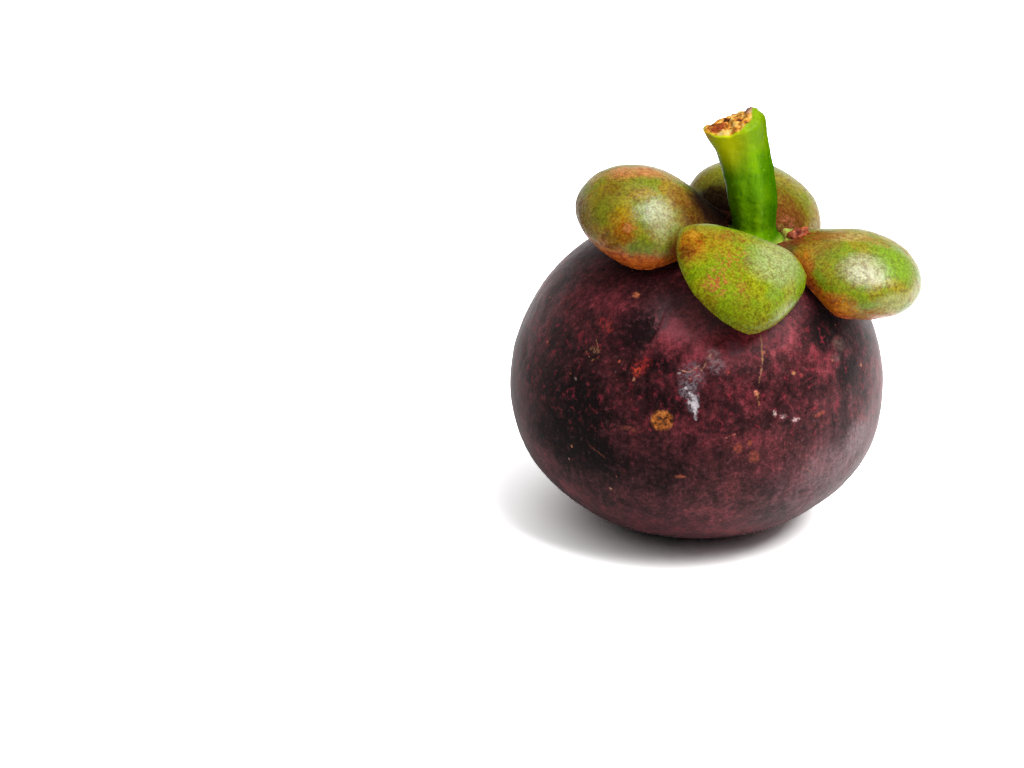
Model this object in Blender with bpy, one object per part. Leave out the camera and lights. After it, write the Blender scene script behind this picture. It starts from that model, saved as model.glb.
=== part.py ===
"""A whole mangosteen: the purple fruit standing on the flat of its blossom end, with its short cut stalk, the
four thick domed sepals round it, and the woody stigma rosette underneath.

Lengths are in millimetres and angles in degrees until add_mesh turns them into metres. The origin is the
middle of the flat that the fruit stands on, +Z is up, and the front sepal is on the -Y side."""

from math import cos, pi, radians, sin

import bmesh
import bpy
import numpy as np
from mathutils import Euler, Matrix, Vector
from mathutils.geometry import interpolate_bezier

MM = 0.001

# The fruit: a rounded body of revolution, taller above its widest level than below it.
BODY_RADIUS = 30.4
BODY_ABOVE = 28.5  # from the widest level to the top, were there no hollow at the stalk
BODY_BELOW = 23.4  # and down to the point that the flat cuts off
BODY_SQUARENESS = 2.1  # 2 is an ellipse; more is boxier
WIDEST_LEVEL = 22.65  # height of the widest level over the flat
BODY_SEGMENTS = 72
BODY_RINGS = 48

# The calyx sits off the middle of the top, and leans with the skin there.
CALYX_X = 7.8
CALYX_Y = -4.5
CALYX_HOLLOW = 1.6  # how deep the skin dips under it
CALYX_HOLLOW_WIDTH = 7.0
CALYX_LEAN = 15.0  # to the right
CALYX_NOD = 7.0  # to the front
RECEPTACLE_RADIUS = 5.6
SEAM = 0.35  # gap left between pieces that touch

# The stalk: its end and the pull of its curve at each end, from the calyx, then height along it and radius.
STEM_END = (-3.6, 0.5, 20.9)
STEM_END_LEAN = -24.0
STEM_FOOT_PULL = 4.0
STEM_END_PULL = 7.0
STEM_STATIONS = 40
STEM_PROFILE = (
    (0.0, 4.4),
    (0.03, 5.6),
    (0.07, 5.6),
    (0.10, 4.9),
    (0.14, 3.7),
    (0.20, 3.35),
    (0.28, 3.5),
    (0.42, 3.85),
    (0.68, 4.0),
    (0.80, 4.2),
    (0.90, 4.75),
    (1.0, 4.95),
)
STEM_SIDES = 32

# Each sepal is a thick dome drawn out to a root at the receptacle. az is its direction, r0 and h0 the middle of
# its dome from the calyx and over it, and up its height. From that middle out is its reach to the tip, inn to
# the stalk, left and right to its sides, as seen from the stalk. tip_left, tip_right and neck are how square
# it is in plan at the two sides of its tip and towards the stalk. roll and pitch tip the dome, gap is its
# clearance of the skin at the rim, and root is the half angle that its root takes up round the receptacle.
SEPALS = {
    "sepal_front": dict(az=267, r0=13.5, h0=2.1, up=4.5, out=12.7, inn=5.2, left=8.1, right=13.6, tip_left=1.42,
                        tip_right=1.95, neck=3.0, roll=-9.0, pitch=23.5, gap=1.3, root=36),
    "sepal_right": dict(az=-14, r0=17.2, h0=0.7, up=7.1, out=10.6, inn=11.7, left=10.4, right=11.3, tip_left=2.0,
                        tip_right=2.0, neck=1.75, roll=-0.9, pitch=-9.0, gap=1.6, root=37),
    "sepal_back": dict(az=83, r0=15.5, h0=-1.5, up=8.3, out=10.1, inn=10.0, left=11.5, right=11.5, tip_left=2.0,
                       tip_right=2.0, neck=2.1, roll=1.2, pitch=-0.4, gap=0.6, root=48),
    "sepal_left": dict(az=183, r0=18.0, h0=0.0, up=8.4, out=11.0, inn=10.3, left=11.6, right=10.4, tip_left=2.0,
                       tip_right=2.0, neck=1.86, roll=0.0, pitch=-3.1, gap=1.2, root=38),
}
SEPAL_THICKNESS = 1.7
TUCK = 0.75  # below its widest level a dome is this much shallower than above it
DEEPEST = 150.0  # how far round the dome the rim may come
ROOT_RADIUS = RECEPTACLE_RADIUS + 0.5  # where the root ends, from the calyx's middle
ROOT_GAP = 0.4  # clearance of the skin under the root
ROOT_THICKNESS = 1.6
ROOT_SPREAD = 80.0  # half angle of the dome's plan that is drawn out to the root
ROOT_FULL = 0.55  # share of that spread that reaches the receptacle; the rest makes the sides of the neck
ROOT_START = 0.25  # share of the way from crest to rim where the drawing out begins
SEPAL_SPOKES = 56
SEPAL_OUTER_RINGS = 14
SEPAL_INNER_RINGS = 8
FIT_ROUNDS = 20  # each halves the error in where a rim or a root meets its clearance

# The stigma rosette, set in a shallow seat and flush with the flat.
ROSETTE_LOBES = 7
ROSETTE_RADIUS = 5.2
ROSETTE_NOTCH = 0.3  # depth of the notch between lobes, as a share of the radius
ROSETTE_THICKNESS = 1.1
ROSETTE_BEVEL = 0.25
ROSETTE_NARROWNESS = 4  # of the notches; more is narrower
ROSETTE_POINTS = 18  # along each lobe's edge
SEAT_RADIUS = ROSETTE_RADIUS + SEAM
SEAT_DEPTH = ROSETTE_THICKNESS + SEAM
SEAT_SIDES = 48


def empty_scene():
    for obj in list(bpy.data.objects):
        bpy.data.objects.remove(obj, do_unlink=True)


def material(name, colour, roughness):
    made = bpy.data.materials.new(name)
    made.use_nodes = True
    shader = made.node_tree.nodes["Principled BSDF"]
    shader.inputs["Base Color"].default_value = (*colour, 1.0)
    shader.inputs["Roughness"].default_value = roughness
    shader.inputs["Metallic"].default_value = 0.0
    return made


def add_mesh(name, mesh, finish):
    """Makes an object of a bmesh that is in millimetres."""
    bmesh.ops.scale(mesh, vec=(MM, MM, MM), verts=mesh.verts)
    data = bpy.data.meshes.new(name)
    mesh.to_mesh(data)
    mesh.free()
    made = bpy.data.objects.new(name, data)
    made.data.materials.append(finish)
    bpy.context.collection.objects.link(made)
    return made


def body_size(points):
    """How far out points are, where 1 is the skin of the fruit."""
    upright = points[..., 2] - WIDEST_LEVEL
    across = np.hypot(points[..., 0], points[..., 1]) / BODY_RADIUS
    upright = np.abs(upright) / np.where(upright > 0, BODY_ABOVE, BODY_BELOW)
    return (across**BODY_SQUARENESS + upright**BODY_SQUARENESS) ** (1 / BODY_SQUARENESS)


def clearance(points):
    """Distance from points to the skin, near enough for points close to it."""
    step = 0.01  # mm, to measure the slope over
    size = body_size(points)
    slope = [(body_size(points + step * axis) - size) / step for axis in np.eye(3)]
    return (size - 1) / np.linalg.norm(slope, axis=0)


def calyx_frame():
    """Places the calyx: its middle on the floor of the hollow, its axis leaning with the skin."""
    across = np.hypot(CALYX_X, CALYX_Y) / BODY_RADIUS
    skin = WIDEST_LEVEL + BODY_ABOVE * (1 - across**BODY_SQUARENESS) ** (1 / BODY_SQUARENESS)
    turn = Matrix.Rotation(radians(CALYX_NOD), 4, "X") @ Matrix.Rotation(radians(CALYX_LEAN), 4, "Y")
    return Matrix.Translation((CALYX_X, CALYX_Y, skin - CALYX_HOLLOW)) @ turn


CALYX = calyx_frame()
CALYX_MIDDLE = CALYX.translation
CALYX_AXIS = CALYX.col[2].to_3d()


def fruit_body():
    """A ball shaped to the fruit, dipped at the stalk, cut flat underneath and recessed for the rosette."""
    mesh = bmesh.new()
    bmesh.ops.create_uvsphere(mesh, u_segments=BODY_SEGMENTS, v_segments=BODY_RINGS, radius=1.0)
    centre = Vector((0, 0, WIDEST_LEVEL))
    for vert in mesh.verts:
        vert.co = centre + vert.co / body_size(np.array(centre + vert.co))
        away = (vert.co - CALYX_MIDDLE).length / CALYX_HOLLOW_WIDTH
        vert.co -= CALYX_AXIS * CALYX_HOLLOW * np.exp(-away * away)
    everything = mesh.verts[:] + mesh.edges[:] + mesh.faces[:]
    cut = bmesh.ops.bisect_plane(mesh, geom=everything, plane_co=(0, 0, 0), plane_no=(0, 0, 1), clear_inner=True)
    rim = [item for item in cut["geom_cut"] if isinstance(item, bmesh.types.BMEdge)]
    bmesh.ops.contextual_create(mesh, geom=rim)
    body = add_mesh("fruit_body", mesh, material("skin", (0.12, 0.02, 0.04), 0.35))

    seat = bmesh.new()
    bmesh.ops.create_cone(
        seat, cap_ends=True, segments=SEAT_SIDES, radius1=SEAT_RADIUS, radius2=SEAT_RADIUS, depth=2 * SEAT_DEPTH
    )
    cutter = add_mesh("rosette_seat", seat, body.data.materials[0])
    cutter.hide_render = True
    cutter.display_type = "WIRE"
    recess = body.modifiers.new("rosette_seat", "BOOLEAN")
    recess.operation = "DIFFERENCE"
    recess.object = cutter


def stem():
    """The stalk as a bevelled curve, its foot spreading into the receptacle and its cut end flared."""
    heights, radii = zip(*STEM_PROFILE)
    lean = radians(STEM_END_LEAN)
    start = CALYX_MIDDLE + SEAM * CALYX_AXIS
    end = CALYX_MIDDLE + Vector(STEM_END)
    first_pull = start + STEM_FOOT_PULL * CALYX_AXIS
    last_pull = end - STEM_END_PULL * Vector((sin(lean), 0, cos(lean)))
    line = interpolate_bezier(start, first_pull, last_pull, end, STEM_STATIONS)

    curve = bpy.data.curves.new("stem", "CURVE")
    curve.dimensions = "3D"
    curve.bevel_depth = MM
    curve.bevel_resolution = STEM_SIDES // 2 - 2
    curve.use_fill_caps = True
    spline = curve.splines.new("POLY")
    spline.points.add(STEM_STATIONS - 1)
    for index, (point, place) in enumerate(zip(spline.points, line)):
        point.co = (*(place * MM), 1.0)
        point.radius = np.interp(index / (STEM_STATIONS - 1), heights, radii)
    made = bpy.data.objects.new("stem", curve)
    made.data.materials.append(material("stalk", (0.14, 0.32, 0.02), 0.4))
    bpy.context.collection.objects.link(made)


def about_calyx(shape, points):
    """Places points given in a sepal's own frame: along it, across it, and up from the calyx."""
    turn = np.array(CALYX @ Matrix.Rotation(radians(shape["az"]), 4, "Z"))
    return points @ turn[:3, :3].T + turn[:3, 3]


def dome(shape, angle, down, thickness):
    """Points of a sepal's dome, at angles round its plan and down from its crest."""
    along, across = np.cos(angle), np.sin(angle)
    tip = np.where(across > 0, shape["tip_left"], shape["tip_right"])
    square = np.where(along > 0, tip, shape["neck"])
    power = 2 + (square - 2) * np.sin(np.minimum(down, pi / 2)) ** 2
    length = np.where(along > 0, shape["out"], shape["inn"])
    width = np.where(across > 0, shape["left"], shape["right"])
    reach = ((abs(along) / length) ** power + (abs(across) / width) ** power) ** (-1 / power) - thickness
    height = (shape["up"] - thickness) * np.where(down > pi / 2, TUCK, 1.0)
    flat = reach * np.sin(down)
    upright = np.stack([flat * along, flat * across, height * np.cos(down)], axis=-1)
    tipped = np.array(Euler((radians(shape["roll"]), radians(shape["pitch"]), 0)).to_matrix())
    return about_calyx(shape, upright @ tipped.T + (shape["r0"], 0, shape["h0"]))


def root_edge(shape, share, wanted):
    """Points of the root at the receptacle, from one corner (-1) to the other (1), at a clearance of the skin."""
    angle = share * radians(shape["root"])
    points = np.stack([ROOT_RADIUS * np.cos(angle), ROOT_RADIUS * np.sin(angle), 0 * angle], axis=-1)
    for _ in range(FIT_ROUNDS):
        points[:, 2] += wanted - clearance(about_calyx(shape, points))
    return about_calyx(shape, points)


def sepal_face(shape, thickness, rings, root_rise):
    """Rings of points from the crest of a sepal down to its rim, on its outer or its inner face."""
    angle = np.linspace(0, 2 * pi, SEPAL_SPOKES, endpoint=False)
    high, low = np.zeros(SEPAL_SPOKES), np.full(SEPAL_SPOKES, radians(DEEPEST))
    for _ in range(FIT_ROUNDS):
        half = (high + low) / 2
        free = clearance(dome(shape, angle, half, thickness)) > shape["gap"]
        high, low = np.where(free, half, high), np.where(free, low, half)
    way = np.linspace(0, 1, rings + 1)[:, None]
    points = dome(shape, angle + 0 * way, way * high, thickness)

    off = (pi - angle) / radians(ROOT_SPREAD)
    edge = root_edge(shape, np.clip(off / ROOT_FULL, -1, 1), ROOT_GAP + root_rise)
    drawn = np.clip((1 - abs(off)) / (1 - ROOT_FULL), 0, 1)
    late = np.clip((way - ROOT_START) / (1 - ROOT_START), 0, 1)
    share = drawn * late * late * (3 - 2 * late)
    return points + (edge - points) * share[..., None]


def sepal(name, shape, finish):
    """A domed shell: the outer face from its crest to the rim, then the inner face back up."""
    outer = sepal_face(shape, 0.0, SEPAL_OUTER_RINGS, ROOT_THICKNESS)
    inner = sepal_face(shape, SEPAL_THICKNESS, SEPAL_INNER_RINGS, 0.0)
    mesh = bmesh.new()
    loops = [[mesh.verts.new(point) for point in ring] for ring in (*outer[1:], *inner[:0:-1])]
    for upper, lower in zip(loops, loops[1:]):
        for k in range(SEPAL_SPOKES):
            after = (k + 1) % SEPAL_SPOKES
            mesh.faces.new((upper[k], lower[k], lower[after], upper[after]))
    for point, ring in ((outer[0, 0], loops[0]), (inner[0, 0], loops[-1][::-1])):
        pole = mesh.verts.new(point)
        for k in range(SEPAL_SPOKES):
            mesh.faces.new((pole, ring[k], ring[(k + 1) % SEPAL_SPOKES]))
    bmesh.ops.recalc_face_normals(mesh, faces=mesh.faces)
    add_mesh(name, mesh, finish)


def stigma_rosette():
    """A flat woody disc cut into blunt lobes, with a softened edge."""
    mesh = bmesh.new()
    outline = []
    count = ROSETTE_LOBES * ROSETTE_POINTS
    for k in range(count):
        angle = 2 * pi * k / count
        notch = (1 - abs(cos(ROSETTE_LOBES * angle / 2))) ** ROSETTE_NARROWNESS
        reach = ROSETTE_RADIUS * (1 - ROSETTE_NOTCH * notch)
        outline.append(mesh.verts.new((reach * cos(angle), reach * sin(angle), 0)))
    base = mesh.faces.new(outline)
    raised = bmesh.ops.extrude_face_region(mesh, geom=[base])
    top = [item for item in raised["geom"] if isinstance(item, bmesh.types.BMVert)]
    bmesh.ops.translate(mesh, vec=(0, 0, ROSETTE_THICKNESS), verts=top)
    bmesh.ops.recalc_face_normals(mesh, faces=mesh.faces)
    rosette = add_mesh("stigma_rosette", mesh, material("rosette", (0.09, 0.05, 0.03), 0.75))
    edge = rosette.modifiers.new("edge", "BEVEL")
    edge.width = ROSETTE_BEVEL * MM
    edge.segments = 2
    edge.limit_method = "ANGLE"


empty_scene()
fruit_body()
stem()
for sepal_name, sepal_shape in SEPALS.items():
    sepal(sepal_name, sepal_shape, material(sepal_name, (0.25, 0.27, 0.04), 0.4))
stigma_rosette()
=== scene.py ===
from math import cos, pi, radians, sin

import bpy
import numpy as np
from mathutils import Matrix, Vector, noise


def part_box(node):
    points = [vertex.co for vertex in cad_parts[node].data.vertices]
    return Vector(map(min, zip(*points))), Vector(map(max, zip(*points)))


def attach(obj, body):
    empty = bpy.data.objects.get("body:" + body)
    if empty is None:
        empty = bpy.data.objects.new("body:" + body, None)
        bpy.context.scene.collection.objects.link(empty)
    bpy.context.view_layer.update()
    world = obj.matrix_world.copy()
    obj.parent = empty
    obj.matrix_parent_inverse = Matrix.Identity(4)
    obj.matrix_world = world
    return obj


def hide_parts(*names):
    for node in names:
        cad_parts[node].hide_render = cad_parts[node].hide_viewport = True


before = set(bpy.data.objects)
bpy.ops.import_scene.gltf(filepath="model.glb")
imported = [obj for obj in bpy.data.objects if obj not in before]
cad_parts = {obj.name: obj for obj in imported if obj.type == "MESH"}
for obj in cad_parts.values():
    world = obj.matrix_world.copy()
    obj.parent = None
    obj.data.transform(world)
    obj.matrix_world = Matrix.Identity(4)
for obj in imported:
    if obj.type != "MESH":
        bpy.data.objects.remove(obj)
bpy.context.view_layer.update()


# ---------------------------------------------------------------------------------------------------------
# The rind. A mangosteen's rind is a thick leathery shell, purple-brown when ripe, with a thin satin skin.
# It grew in one piece round the segments: flat at the blossom end, dipped where the calyx sits on it.
# ---------------------------------------------------------------------------------------------------------

MM = 0.001
rind_low, rind_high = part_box("fruit_body")
RIND_RADIUS = (rind_high.x - rind_low.x) / 2 / MM
RIND_ABOVE = 28.5
RIND_BELOW = 23.4
RIND_SQUARENESS = 2.1
WIDEST_LEVEL = 22.65
CALYX_HOLLOW = 1.6
CALYX_HOLLOW_WIDTH = 7.0
SEAT_RADIUS = 5.55
SEAT_DEPTH = 1.45
RIND_ROUND = 400
RIND_DOWN = 220


def skin_size(points):
    """How far out points are, where 1 is the smooth skin."""
    across = np.hypot(points[..., 0], points[..., 1]) / RIND_RADIUS
    upright = points[..., 2] - WIDEST_LEVEL
    upright = np.abs(upright) / np.where(upright > 0, RIND_ABOVE, RIND_BELOW)
    return (across**RIND_SQUARENESS + upright**RIND_SQUARENESS) ** (1 / RIND_SQUARENESS)


def over_skin(points):
    """Distance from points to the smooth skin, near enough for points close to it."""
    step = 0.01
    size = skin_size(points)
    slope = [(skin_size(points + step * axis) - size) / step for axis in np.eye(3)]
    return (size - 1) / np.linalg.norm(slope, axis=0)


def on_skin(bearing, height):
    """The point of the skin at a bearing round from the front, positive to the right, and a height."""
    rise = abs(height - WIDEST_LEVEL) / (RIND_ABOVE if height > WIDEST_LEVEL else RIND_BELOW)
    reach = RIND_RADIUS * (1 - rise**RIND_SQUARENESS) ** (1 / RIND_SQUARENESS)
    return np.array((reach * sin(radians(bearing)), -reach * cos(radians(bearing)), height))


def rough(points, size, octaves=3, seed=0.0):
    """Smooth noise of about -1 to 1, with bumps of a size in millimetres."""
    flat = points.reshape(-1, 3) / size + seed
    values = [noise.fractal(point, 1.0, 2.0, octaves, noise_basis="PERLIN_ORIGINAL") for point in flat]
    return np.array(values).reshape(points.shape[:-1])


def smooth_step(value):
    value = np.clip(value, 0, 1)
    return value * value * (3 - 2 * value)


def grid_object(name, grid, cap_start=True, cap_end=True):
    """Makes an object of rings of points in millimetres, each ring closed, with a fan over each end."""
    rings, spokes = grid.shape[:2]
    points = [grid.reshape(-1, 3)]
    index = np.arange(rings * spokes).reshape(rings, spokes)
    after = np.roll(index, -1, axis=1)
    faces = np.stack([index[:-1], index[1:], after[1:], after[:-1]], axis=-1).reshape(-1, 4).tolist()
    if cap_start:
        points.append(grid[0].mean(axis=0, keepdims=True))
        top = rings * spokes
        faces += [(top, int(index[0, k]), int(after[0, k])) for k in range(spokes)]
    if cap_end:
        points.append(grid[-1].mean(axis=0, keepdims=True))
        bottom = rings * spokes + int(cap_start)
        faces += [(bottom, int(after[-1, k]), int(index[-1, k])) for k in range(spokes)]
    data = bpy.data.meshes.new(name)
    data.from_pydata((np.concatenate(points) * MM).tolist(), [], faces)
    data.update()
    data.shade_smooth()
    made = bpy.data.objects.new(name, data)
    bpy.context.scene.collection.objects.link(made)
    return made


CALYX_SPOT = np.array((7.8, -4.5))
calyx_across = np.hypot(*CALYX_SPOT) / RIND_RADIUS
calyx_skin = WIDEST_LEVEL + RIND_ABOVE * (1 - calyx_across**RIND_SQUARENESS) ** (1 / RIND_SQUARENESS)
calyx_turn = Matrix.Rotation(radians(7), 3, "X") @ Matrix.Rotation(radians(15), 3, "Y")
CALYX_TURN = np.array(calyx_turn)
CALYX_AXIS = CALYX_TURN[:, 2]
CALYX_MIDDLE = np.array((*CALYX_SPOT, calyx_skin - CALYX_HOLLOW))

# The meridian: down the skin to the flat, across the flat, then up into the seat of the rosette.
angle_down = np.linspace(0.004, pi, 4000)
meridian = np.stack([np.sin(angle_down), 0 * angle_down, np.cos(angle_down)], axis=-1)
level = np.array((0, 0, WIDEST_LEVEL))
meridian = level + meridian / skin_size(level + meridian)[:, None]
meridian = meridian[meridian[:, 2] > 0]
length_down = np.concatenate([[0], np.cumsum(np.linalg.norm(np.diff(meridian, axis=0), axis=1))])
even = np.linspace(0, length_down[-1], RIND_DOWN)
skin_reach = np.interp(even, length_down, meridian[:, 0])
skin_height = np.interp(even, length_down, meridian[:, 2])
seat = (
    (skin_reach[-1] - 0.4, 0.0), (7.0, 0.0), (SEAT_RADIUS + 0.15, 0.0), (SEAT_RADIUS, 0.15),
    (SEAT_RADIUS, SEAT_DEPTH - 0.2), (SEAT_RADIUS - 0.3, SEAT_DEPTH), (2.5, SEAT_DEPTH),
)
reach = np.concatenate([skin_reach, [point[0] for point in seat]])
height = np.concatenate([skin_height, [point[1] for point in seat]])

round_angle = np.linspace(0, 2 * pi, RIND_ROUND, endpoint=False)
rind = np.stack(
    [
        reach[:, None] * np.cos(round_angle),
        reach[:, None] * np.sin(round_angle),
        height[:, None] + 0 * round_angle,
    ],
    axis=-1,
)
outward = rind - level
outward /= np.linalg.norm(outward, axis=-1, keepdims=True)

# The skin swells and dimples a little all over. Beside the front sepal it folded over a slow-growing patch,
# so it steps down along a crease. Lower, in front, is a round scar with a raised edge and a sunken middle.
SWELL_HEIGHT = 0.20
SWELL_WIDTH = 11.0
DIMPLE_DEPTH = 0.05
DIMPLE_WIDTH = 2.6
CREASE = (on_skin(-13.6, 45.0), on_skin(-17.4, 43.4), on_skin(-18.2, 41.6), on_skin(-22.2, 37.8))
CREASE_STEP = 0.36
CREASE_STEP_WIDTH = 2.4
CREASE_GROOVE = 0.25
CREASE_GROOVE_WIDTH = 0.6
SCAR_BEARING = -13.8
SCAR_HEIGHT = 28.5
SCAR_RADIUS = 1.85
SCAR_EDGE = 0.13
SCAR_EDGE_WIDTH = 0.45
SCAR_SINK = 0.10
swell = SWELL_HEIGHT * rough(rind, SWELL_WIDTH, 2) + DIMPLE_DEPTH * rough(rind, DIMPLE_WIDTH, 2, 7.0)
crease_far = np.full(rind.shape[:2], 99.0)
right_of_crease = np.zeros(rind.shape[:2])
for start, end in zip(CREASE, CREASE[1:]):
    run = end - start
    share = np.clip((rind - start) @ run / (run @ run), 0, 1)
    off = rind - (start + share[..., None] * run)
    far = np.linalg.norm(off, axis=-1)
    rightward = np.cross(start - level, run)
    side = off @ rightward / np.linalg.norm(rightward)
    right_of_crease = np.where(far < crease_far, side, right_of_crease)
    crease_far = np.minimum(far, crease_far)
swell -= CREASE_GROOVE * np.exp(-((crease_far / CREASE_GROOVE_WIDTH) ** 2))
low = smooth_step(0.5 - right_of_crease / 0.8)
swell -= CREASE_STEP * np.exp(-crease_far / CREASE_STEP_WIDTH) * low
scar_far = np.linalg.norm(rind - on_skin(SCAR_BEARING, SCAR_HEIGHT), axis=-1)
swell += SCAR_EDGE * np.exp(-(((scar_far - SCAR_RADIUS) / SCAR_EDGE_WIDTH) ** 2))
swell -= SCAR_SINK * smooth_step(1.5 - scar_far)
fade = smooth_step((rind[..., 2] - 0.3) / 5.0)  # the flat stays flat
rind = rind + outward * (swell * fade)[..., None]
away = np.linalg.norm(rind - CALYX_MIDDLE, axis=-1) / CALYX_HOLLOW_WIDTH
rind = rind - CALYX_AXIS * (CALYX_HOLLOW * np.exp(-away * away))[..., None]
fruit = grid_object("rind", rind)


def add_node(tree, kind, links=None, **settings):
    """Adds a node, sets its attributes, and sets or links its inputs by name or number."""
    made = tree.nodes.new("ShaderNode" + kind)
    for key, value in settings.items():
        setattr(made, key, value)
    for key, value in (links or {}).items():
        if isinstance(value, bpy.types.NodeSocket):
            tree.links.new(value, made.inputs[key])
        else:
            made.inputs[key].default_value = value
    return made


def start_finish(name):
    """A new material, its node tree, its shader, and its coordinates in millimetres."""
    made = bpy.data.materials.new(name)
    made.use_nodes = True
    tree = made.node_tree
    place = add_node(tree, "TexCoord").outputs["Object"]
    in_mm = add_node(tree, "VectorMath", {0: place, "Scale": 1000.0}, operation="SCALE").outputs[0]
    return made, tree, tree.nodes["Principled BSDF"], in_mm


def noise_of(tree, place, size, detail=3.0, roughness=0.55, out="Fac"):
    """Smooth noise of 0 to 1, with blotches of a size in millimetres."""
    links = {"Vector": place, "Scale": 1 / size, "Detail": detail, "Roughness": roughness}
    return add_node(tree, "TexNoise", links).outputs[out]


def sum_of(tree, *terms):
    """Adds up pairs of a value and its weight."""
    total = 0.0
    for value, weight in terms:
        total = add_node(tree, "Math", {0: value, 1: weight, 2: total}, operation="MULTIPLY_ADD").outputs[0]
    return total


def product_of(tree, first, second):
    """Multiplies two values."""
    return add_node(tree, "Math", {0: first, 1: second}, operation="MULTIPLY").outputs[0]


def range_of(tree, value, low, high, out_low=0.0, out_high=1.0):
    """Goes smoothly from one value to another as its input goes from low to high."""
    links = {0: value, 1: low, 2: high, 3: out_low, 4: out_high}
    return add_node(tree, "MapRange", links, interpolation_type="SMOOTHSTEP").outputs[0]


def ramp_of(tree, value, *stops):
    """A colour from pairs of a place between 0 and 1 and the colour there."""
    made = add_node(tree, "ValToRGB", {"Fac": value})
    points = made.color_ramp.elements
    while len(points) < len(stops):
        points.new(0.5)
    for point, (where, colour) in zip(points, stops):
        point.position = where
        point.color = (*colour, 1.0)
    return made.outputs["Color"]


def mix_of(tree, share, first, second, blend="MIX"):
    """Lays a share of the second colour over the first."""
    made = add_node(tree, "Mix", data_type="RGBA", blend_type=blend)
    for key, value in (("Factor", share), ("A", first), ("B", second)):
        socket = [s for s in made.inputs if s.name == key and s.enabled][0]
        if isinstance(value, bpy.types.NodeSocket):
            tree.links.new(value, socket)
        else:
            socket.default_value = (*value, 1.0) if isinstance(value, tuple) else value
    return [s for s in made.outputs if s.enabled][0]


def stretch_of(tree, place, factors):
    return add_node(tree, "VectorMath", {0: place, 1: factors}, operation="MULTIPLY").outputs[0]


def offset_of(tree, place, middle):
    return add_node(tree, "VectorMath", {0: place, 1: middle}, operation="SUBTRACT").outputs[0]


def distance_along(tree, place, direction):
    """How far coordinates lie along a direction."""
    return add_node(tree, "VectorMath", {0: place, 1: direction}, operation="DOT_PRODUCT").outputs["Value"]


def ragged(tree, place, size, amount):
    """Coordinates pushed about by noise, so that a spot drawn in them gets an uneven edge."""
    push = noise_of(tree, place, size, 3.0, 0.6, out="Color")
    push = offset_of(tree, push, (0.5, 0.5, 0.5))
    links = {0: push, 1: (amount, amount, amount), 2: place}
    return add_node(tree, "VectorMath", links, operation="MULTIPLY_ADD").outputs[0]


def spot_of(tree, place, middle, halves, soft=0.6):
    """1 in the middle of a spot of the given half sizes, fading out over its soft share."""
    off = stretch_of(tree, offset_of(tree, place, middle), [1 / half for half in halves])
    far = add_node(tree, "VectorMath", {0: off}, operation="LENGTH").outputs["Value"]
    return range_of(tree, far, 1.0, 1.0 - soft)


def line_of(tree, place, start, end, half):
    """1 on a line between two points, fading out at its half width."""
    run = end - start
    off = offset_of(tree, place, start)
    share = add_node(tree, "Clamp", {0: distance_along(tree, off, run / (run @ run))}).outputs[0]
    near = add_node(tree, "VectorMath", {0: run, "Scale": share}, operation="SCALE").outputs[0]
    far = add_node(tree, "VectorMath", {0: offset_of(tree, off, near)}, operation="LENGTH").outputs["Value"]
    return range_of(tree, far, half, 0.3 * half)


def dots_of(tree, place, apart, edge, core, rare, common, strength=1.0):
    """Dots in the cells of a loose net whose random number is high, and a second number for each cell."""
    cells = add_node(tree, "TexVoronoi", {"Vector": place, "Scale": 1 / apart, "Randomness": 1.0})
    which = add_node(tree, "SeparateColor", {0: cells.outputs["Color"]}).outputs
    dots = range_of(tree, cells.outputs["Distance"], edge, core)
    return product_of(tree, dots, range_of(tree, which[0], rare, common, 0.0, strength)), which[1]


def put_finish(made, finish, shader, colour, roughness, relief, strength, depth):
    """Gives an object its finish: its colour, how rough it is, and a fine relief up to a depth in metres."""
    tree = finish.node_tree
    bump = add_node(tree, "Bump", {"Height": relief, "Strength": strength, "Distance": depth})
    for socket, value in (("Base Color", colour), ("Roughness", roughness), ("Normal", bump.outputs[0])):
        tree.links.new(value, shader.inputs[socket])
    made.data.materials.append(finish)


# Paler and darker parts of the skin: bearing, height, half width, half height, and how far it shifts. The
# bearing runs round from the front in degrees, positive to the right; the rest is in millimetres. Some
# of the darker spots are painted shade, as marked.
RIND_TONES = (
    (-8, 41.5, 8, 4.6, 0.11),
    (-12.0, 41.4, 5.0, 3.6, 0.06),
    (-38, 46, 9, 5, -0.07),
    (2, 38.0, 7, 4, 0.11),
    (22, 41, 8, 6, 0.09),
    (36, 40, 4, 3, 0.05),
    # Painted shadow under the right sepal.
    (46, 39, 8, 4.6, -0.30),
    # Painted shade on the left side.
    (-40, 29.5, 7, 6, -0.15),
    (8, 15, 16, 8, 0.02),
    (34, 14, 10, 7, 0.01),
    (-20, 20, 16, 12, -0.08),
    (-13, 40.5, 3.4, 4, 0.05),
    (-14.5, 36.2, 4.6, 2.6, -0.15),
    (-24, 35.5, 6, 4.0, -0.09),
    (-23, 31.5, 6, 4, -0.07),
    (-42, 38.5, 7, 6, -0.06),
    (-28, 41, 4.4, 4.6, -0.12),
    (-36, 34, 7, 6, -0.06),
    (-11, 31.5, 7.5, 4.2, -0.16),
    (-22, 27, 7, 4, -0.09),
    (10, 28.0, 9, 3.4, -0.09),
    (20, 28.0, 5, 3, -0.06),
    (3, 24.5, 8, 3.5, -0.06),
    (61, 31, 10, 9, -0.10),
    (46, 22, 9, 7, -0.05),
    (38, 31.5, 6, 2.4, -0.10),
    (52, 32.5, 4, 2.6, -0.18),
    # Painted shade low on the left.
    (-44, 24, 12, 11, -0.24),
    # Painted shade low on the left.
    (-30, 20, 8, 6, -0.10),
    # Painted shade on the left side.
    (-58, 33, 12, 12, -0.10),
    (100, 36, 10, 7, 0.05),
    (140, 32, 9, 3, -0.12),
    (175, 40, 10, 6, 0.06),
    (-150, 27, 9, 4, -0.12),
    (-110, 31, 8, 4, -0.10),
    (-130, 42, 9, 5, 0.06),
)
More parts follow.
